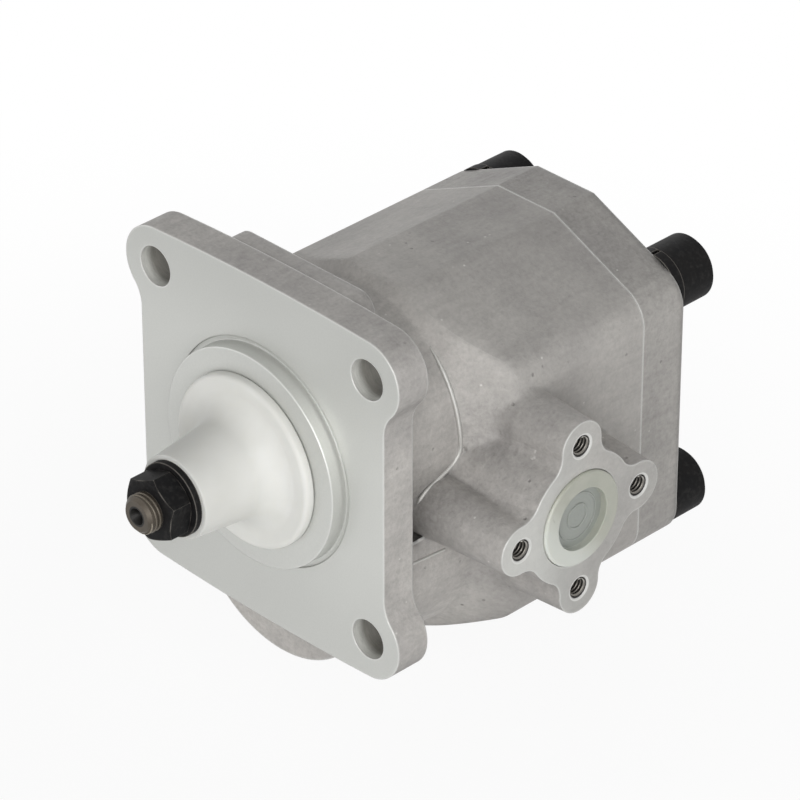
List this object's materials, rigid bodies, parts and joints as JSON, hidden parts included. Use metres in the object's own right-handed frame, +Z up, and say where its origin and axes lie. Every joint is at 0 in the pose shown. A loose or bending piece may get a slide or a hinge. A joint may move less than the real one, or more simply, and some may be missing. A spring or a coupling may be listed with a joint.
{
  "type": "hydraulic gear pump",
  "caption": "Cast hydraulic gear pump with a square pilot flange, capped taper shaft, lobed port bosses, meshing gears in plain bearings and a screwed rear cover.",
  "frame": {"origin": "centre of the pilot spigot in the plane of the flange's front face, on the drive shaft's axis", "axes": "+X to the right seen from the flange, +Y along the shaft towards the rear cover, +Z up"},
  "size_m": [0.1236, 0.1657, 0.1176],
  "materials": {
    "cast_alloy": "as cast, with machined faces",
    "black_oxide": "blackened steel, oiled",
    "bright_steel": "ground",
    "seal_rubber": "moulded",
    "block_alloy": "machined",
    "bush_bronze": "sintered",
    "ring_plastic": "turned",
    "shaft_steel": "ground, with a rolled thread",
    "cap_plastic": "moulded, satin",
    "plug_plastic": "moulded, milky"
  },
  "bodies": {
    "housing": {"pump_body": "cast_alloy", "rear_cover": "cast_alloy", "cover_screws": "black_oxide", "cover_washers": "black_oxide", "dowel_pins": "bright_steel", "cover_seal": "seal_rubber", "front_bearing_block": "block_alloy", "rear_bearing_block": "block_alloy", "front_drive_bush": "bush_bronze", "front_idler_bush": "bush_bronze", "rear_drive_bush": "bush_bronze", "rear_idler_bush": "bush_bronze", "front_block_seal": "seal_rubber", "rear_block_seal": "seal_rubber", "front_backup_ring": "ring_plastic", "rear_backup_ring": "ring_plastic", "shaft_seal": "seal_rubber", "seal_spring": "bright_steel", "seal_snap_ring": "bright_steel"},
    "drive": {"drive_shaft": "shaft_steel", "woodruff_key": "bright_steel", "shaft_cap": "cap_plastic", "shaft_washer": "black_oxide", "shaft_nut": "black_oxide"},
    "idler": {"idler_gear": "shaft_steel"},
    "inlet_stopper": {"inlet_plug": "plug_plastic"},
    "outlet_stopper": {"outlet_plug": "plug_plastic"}
  },
  "joints": [
    {"name": "shaft_spin", "type": "hinge", "parent": "housing", "child": "drive", "pos_m": [0, 0, 0], "axis": [0, 1, 0], "continuous": true},
    {"name": "idler_spin", "type": "hinge", "parent": "housing", "child": "idler", "pos_m": [0, 0, -0.03], "axis": [0, 1, 0], "continuous": true},
    {"name": "inlet_plug_pull", "type": "slide", "parent": "housing", "child": "inlet_stopper", "axis": [1, 0, 0], "range_m": [0, 0.016]},
    {"name": "outlet_plug_pull", "type": "slide", "parent": "housing", "child": "outlet_stopper", "axis": [-1, 0, 0], "range_m": [0, 0.016]}
  ],
  "couplings": [
    {"joint": "idler_spin", "follows": "shaft_spin", "ratio": -1}
  ]
}
